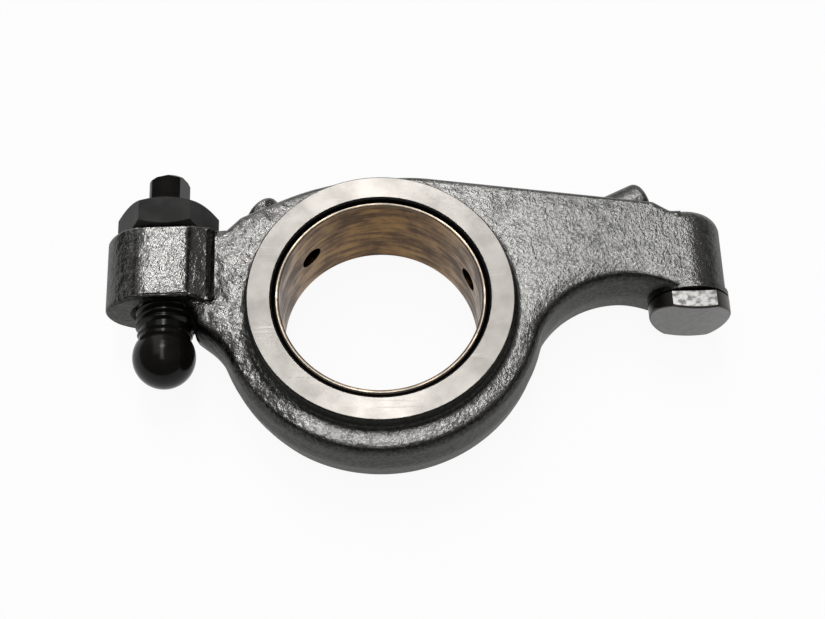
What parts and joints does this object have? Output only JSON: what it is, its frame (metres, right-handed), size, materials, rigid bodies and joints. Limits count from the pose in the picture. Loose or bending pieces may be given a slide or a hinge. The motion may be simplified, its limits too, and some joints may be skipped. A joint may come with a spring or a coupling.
{
  "type": "rocker arm",
  "caption": "Forged engine rocker arm with a bushed shaft bore, a ball-ended adjusting screw with lock nut at one end and a hardened valve pad at the other.",
  "frame": {"origin": "on the axis of the shaft bore, midway between the two thrust faces", "axes": "+Z along the shaft bore, +X along the long arm to the valve pad, +Y away from the push rod, on the side of the lock nut"},
  "size_m": [0.1264, 0.0644, 0.023],
  "materials": {
    "forged_steel": "shot-blasted dark forging, ground thrust faces",
    "bearing_bronze": "fine bored bearing bronze, oiled",
    "black_steel": "hardened and blackened, glossy with oil",
    "nut_steel": "blackened, matt",
    "pad_steel": "hardened and ground, satin"
  },
  "bodies": {
    "arm": {"arm_forging": "forged_steel", "bush": "bearing_bronze", "valve_pad": "pad_steel"},
    "screw": {"adjusting_screw": "black_steel"},
    "nut": {"lock_nut": "nut_steel"}
  },
  "joints": [
    {"name": "lash_adjustment", "type": "slide", "parent": "arm", "child": "screw", "axis": [0, 1, 0], "range_m": [-0.004, 0.0025]},
    {"name": "lock_nut_turn", "type": "hinge", "parent": "arm", "child": "nut", "pos_m": [-0.0435, 0.0182, 0], "axis": [0, 1, 0], "range_deg": [-60, 60]}
  ]
}
